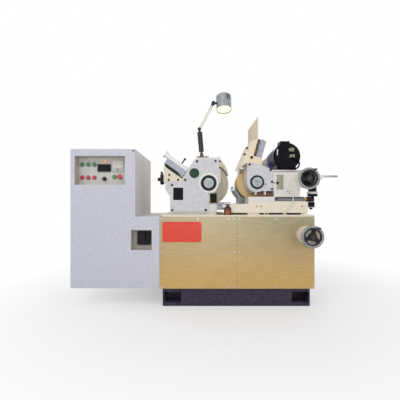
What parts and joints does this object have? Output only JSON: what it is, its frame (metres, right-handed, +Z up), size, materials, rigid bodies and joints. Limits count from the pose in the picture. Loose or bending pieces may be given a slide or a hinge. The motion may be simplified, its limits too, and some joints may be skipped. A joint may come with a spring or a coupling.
{
  "type": "centerless grinder",
  "caption": "Centerless grinder: stainless-fronted bed on a dark plinth, grinding and regulating wheel heads with dressers, feed slides, work lamp and side electrical cabinet.",
  "frame": {"origin": "on the floor, under the middle of the bed", "axes": "+X to the operator's right, +Y away from the operator, +Z up"},
  "size_m": [1.783, 0.8673, 1.4391],
  "materials": {
    "plinth_paint": "satin",
    "bed_paint": "painted satin",
    "stainless": "brushed",
    "steel": "ground",
    "black_screw": "satin",
    "cabinet_paint": "satin",
    "fascia": "matte",
    "instrument": "matte",
    "head_paint": "painted satin",
    "plate_paint": "satin",
    "bronze": "machined",
    "sight": "clear",
    "cream_paint": "satin",
    "motor_paint": "satin",
    "belt": "matte",
    "grey_metal": "satin",
    "lamp_black": "satin",
    "abrasive_white": "grainy",
    "abrasive_yellow": "grainy",
    "black_plastic": "matte",
    "green_plastic": "gloss",
    "red_plastic": "gloss",
    "gear_blue": "gloss",
    "lamp_grey": "satin",
    "splash": "satin"
  },
  "bodies": {
    "machine_bed": {"plinth": "plinth_paint", "bed_casting": "bed_paint", "front_panels": "stainless", "fasteners": "black_screw", "cabinet_body": "cabinet_paint", "cabinet_front": "cabinet_paint", "control_plate": "fascia", "panel_instruments": "instrument", "grinding_head": "head_paint", "grinding_front_plate": "plate_paint", "grinding_bearings": "bronze", "sight_glass": "sight", "wheel_guard": "cream_paint", "dresser_base": "cream_paint", "main_motor": "motor_paint", "belt_guard": "cream_paint", "drive_belts": "belt", "coolant_block": "grey_metal", "lamp_base": "lamp_black", "lower_feed_drum": "cream_paint"},
    "grinding_spindle": {"grinding_spindle": "steel", "grinding_wheel": "abrasive_white", "spindle_pulley": "steel"},
    "motor_pulley": {"motor_pulley": "steel"},
    "dresser_slide": {"dresser_slide": "steel"},
    "dresser_lever": {"dresser_lever": "lamp_black"},
    "dresser_handwheel": {"dresser_handwheel": "black_plastic"},
    "lamp_lower_arm": {"lamp_lower_arm": "lamp_black"},
    "lamp_upper_arm": {"lamp_upper_arm": "lamp_grey"},
    "lamp_head": {"lamp_head": "lamp_grey"},
    "lower_slide": {"lower_slide": "bed_paint", "work_rest": "grey_metal", "rest_blade": "steel"},
    "lower_handwheel": {"lower_handwheel": "black_plastic"},
    "lower_feed_screw": {"lower_feed_screw": "steel"},
    "upper_slide": {"upper_slide": "head_paint", "upper_feed_housing": "cream_paint"},
    "upper_handwheel": {"upper_handwheel": "black_plastic"},
    "upper_feed_screw": {"upper_feed_screw": "steel"},
    "regulating_head": {"regulating_head": "head_paint", "regulating_front_plate": "plate_paint", "regulating_bearings": "bronze", "regulating_guard": "cream_paint", "splash_sheet": "splash", "gear_motor": "gear_blue", "chain_case": "cream_paint"},
    "regulating_spindle": {"regulating_spindle": "steel", "regulating_wheel": "abrasive_yellow"},
    "regulating_dresser_slide": {"regulating_dresser_slide": "steel"},
    "infeed_lever": {"infeed_lever": "steel"},
    "green_button_1": {"green_button_1": "green_plastic"},
    "green_button_2": {"green_button_2": "green_plastic"},
    "green_button_3": {"green_button_3": "green_plastic"},
    "red_button_1": {"red_button_1": "red_plastic"},
    "red_button_2": {"red_button_2": "red_plastic"},
    "red_button_3": {"red_button_3": "red_plastic"},
    "start_button": {"start_button": "green_plastic"},
    "stop_mushroom": {"stop_mushroom": "red_plastic"},
    "speed_knob": {"speed_knob": "black_plastic"},
    "isolator_handle": {"isolator_handle": "black_plastic"}
  },
  "joints": [
    {"name": "grinding_spindle_spin", "type": "hinge", "parent": "machine_bed", "child": "grinding_spindle", "pos_m": [-0.182, -0.008, 0.812], "axis": [0, 1, 0], "continuous": true},
    {"name": "motor_pulley_spin", "type": "hinge", "parent": "machine_bed", "child": "motor_pulley", "pos_m": [-0.182, 0.25, 0.35], "axis": [0, 1, 0], "continuous": true},
    {"name": "dresser_traverse", "type": "slide", "parent": "machine_bed", "child": "dresser_slide", "axis": [0, 1, 0], "range_m": [0, 0.14]},
    {"name": "dresser_handwheel_turn", "type": "hinge", "parent": "machine_bed", "child": "dresser_handwheel", "pos_m": [-0.484, -0.24, 0.84], "axis": [1, 0, 0], "range_deg": [0, 700]},
    {"name": "dresser_lever_swing", "type": "hinge", "parent": "dresser_slide", "child": "dresser_lever", "pos_m": [-0.37079, -0.245, 0.93811], "axis": [0, 1, 0], "range_deg": [-20, 20]},
    {"name": "lamp_shoulder", "type": "hinge", "parent": "machine_bed", "child": "lamp_lower_arm", "pos_m": [-0.228, -0.2, 1.015], "axis": [0, 1, 0], "range_deg": [-35, 22]},
    {"name": "lamp_elbow", "type": "hinge", "parent": "lamp_lower_arm", "child": "lamp_upper_arm", "pos_m": [-0.24351, -0.2, 1.19232], "axis": [0, 1, 0], "range_deg": [-40, 50]},
    {"name": "lamp_wrist", "type": "hinge", "parent": "lamp_upper_arm", "child": "lamp_head", "pos_m": [-0.1468, -0.2, 1.37421], "axis": [0, 1, 0], "range_deg": [-45, 30]},
    {"name": "lower_slide_feed", "type": "slide", "parent": "machine_bed", "child": "lower_slide", "axis": [1, 0, 0], "range_m": [-0.022, 0.04]},
    {"name": "lower_handwheel_turn", "type": "hinge", "parent": "machine_bed", "child": "lower_handwheel", "pos_m": [0.444, -0.48, 0.473], "axis": [0, 1, 0], "range_deg": [-400, 724]},
    {"name": "lower_screw_turn", "type": "hinge", "parent": "machine_bed", "child": "lower_feed_screw", "pos_m": [0.3, 0, 0.473], "axis": [1, 0, 0], "range_deg": [-400, 724]},
    {"name": "upper_slide_feed", "type": "slide", "parent": "lower_slide", "child": "upper_slide", "axis": [1, 0, 0], "range_m": [-0.005, 0.06]},
    {"name": "upper_handwheel_turn", "type": "hinge", "parent": "upper_slide", "child": "upper_handwheel", "pos_m": [0.455, -0.39, 0.836], "axis": [0, 1, 0], "range_deg": [-94, 1084]},
    {"name": "upper_screw_turn", "type": "hinge", "parent": "upper_slide", "child": "upper_feed_screw", "pos_m": [0.4, 0, 0.836], "axis": [1, 0, 0], "range_deg": [-94, 1084]},
    {"name": "head_tilt", "type": "hinge", "parent": "upper_slide", "child": "regulating_head", "pos_m": [0.255, -0.008, 0.818], "axis": [1, 0, 0], "range_deg": [-5, 2]},
    {"name": "regulating_spindle_spin", "type": "hinge", "parent": "regulating_head", "child": "regulating_spindle", "pos_m": [0.142, -0.008, 0.818], "axis": [0, 1, 0], "continuous": true},
    {"name": "regulating_dresser_traverse", "type": "slide", "parent": "regulating_head", "child": "regulating_dresser_slide", "axis": [0, 1, 0], "range_m": [0, 0.14]},
    {"name": "infeed_lever_swing", "type": "hinge", "parent": "upper_slide", "child": "infeed_lever", "pos_m": [0.542, -0.239, 0.83], "axis": [0, 1, 0], "range_deg": [-15, 40]},
    {"name": "green_button_1_press", "type": "slide", "parent": "machine_bed", "child": "green_button_1", "axis": [0, 1, 0], "range_m": [0, 0.005], "stiffness_N_per_m": 400, "springref_m": -0.004},
    {"name": "green_button_2_press", "type": "slide", "parent": "machine_bed", "child": "green_button_2", "axis": [0, 1, 0], "range_m": [0, 0.005], "stiffness_N_per_m": 400, "springref_m": -0.004},
    {"name": "green_button_3_press", "type": "slide", "parent": "machine_bed", "child": "green_button_3", "axis": [0, 1, 0], "range_m": [0, 0.005], "stiffness_N_per_m": 400, "springref_m": -0.004},
    {"name": "red_button_1_press", "type": "slide", "parent": "machine_bed", "child": "red_button_1", "axis": [0, 1, 0], "range_m": [0, 0.005], "stiffness_N_per_m": 400, "springref_m": -0.004},
    {"name": "red_button_2_press", "type": "slide", "parent": "machine_bed", "child": "red_button_2", "axis": [0, 1, 0], "range_m": [0, 0.005], "stiffness_N_per_m": 400, "springref_m": -0.004},
    {"name": "red_button_3_press", "type": "slide", "parent": "machine_bed", "child": "red_button_3", "axis": [0, 1, 0], "range_m": [0, 0.005], "stiffness_N_per_m": 400, "springref_m": -0.004},
    {"name": "start_button_press", "type": "slide", "parent": "machine_bed", "child": "start_button", "axis": [0, 1, 0], "range_m": [0, 0.005], "stiffness_N_per_m": 400, "springref_m": -0.004},
    {"name": "stop_mushroom_press", "type": "slide", "parent": "machine_bed", "child": "stop_mushroom", "axis": [0, 1, 0], "range_m": [0, 0.005]},
    {"name": "speed_knob_turn", "type": "hinge", "parent": "machine_bed", "child": "speed_knob", "pos_m": [-0.8823, -0.2753, 0.841], "axis": [0, 1, 0], "range_deg": [-150, 150]},
    {"name": "isolator_turn", "type": "hinge", "parent": "machine_bed", "child": "isolator_handle", "pos_m": [-0.6153, -0.2753, 0.444], "axis": [0, 1, 0], "range_deg": [0, 90]}
  ],
  "couplings": [
    {"joint": "motor_pulley_spin", "follows": "grinding_spindle_spin", "ratio": 1},
    {"joint": "dresser_handwheel_turn", "follows": "dresser_traverse", "rad_per_m": 83.333},
    {"joint": "lower_handwheel_turn", "follows": "lower_slide_feed", "rad_per_m": 314.16},
    {"joint": "lower_screw_turn", "follows": "lower_slide_feed", "rad_per_m": 314.16},
    {"joint": "upper_handwheel_turn", "follows": "upper_slide_feed", "rad_per_m": 314.16},
    {"joint": "upper_screw_turn", "follows": "upper_slide_feed", "rad_per_m": 314.16}
  ]
}
